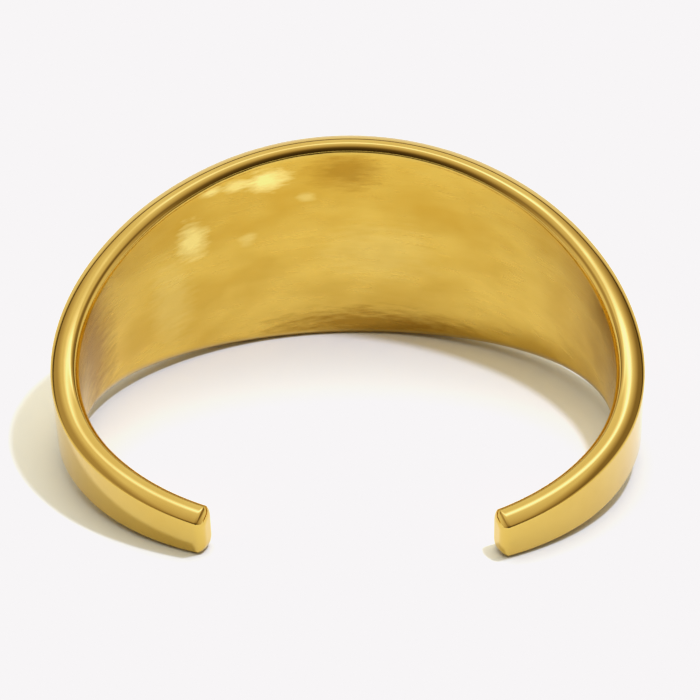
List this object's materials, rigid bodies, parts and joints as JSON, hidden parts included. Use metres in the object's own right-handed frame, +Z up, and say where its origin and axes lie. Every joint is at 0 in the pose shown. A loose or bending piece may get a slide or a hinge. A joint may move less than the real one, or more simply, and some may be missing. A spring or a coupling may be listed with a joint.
{
  "type": "open cuff bracelet",
  "caption": "Open cuff bracelet of polished gold-coloured metal, tall at the front and tapering to narrow rounded tips, with a brushed satin inner face.",
  "frame": {"origin": "middle of the bounding box in X and Y, on the surface the cuff lies on", "axes": "+X along the cuff's width, to the right as seen from the open side; +Y from the gap between the tips towards the tall front; +Z up from the surface"},
  "size_m": [0.064, 0.0546, 0.0274],
  "materials": {
    "gold": "gold plating, mirror polished outside and on the rims, brushed satin inside"
  },
  "bodies": {
    "root": {"cuff_band": "gold"}
  },
  "joints": []
}
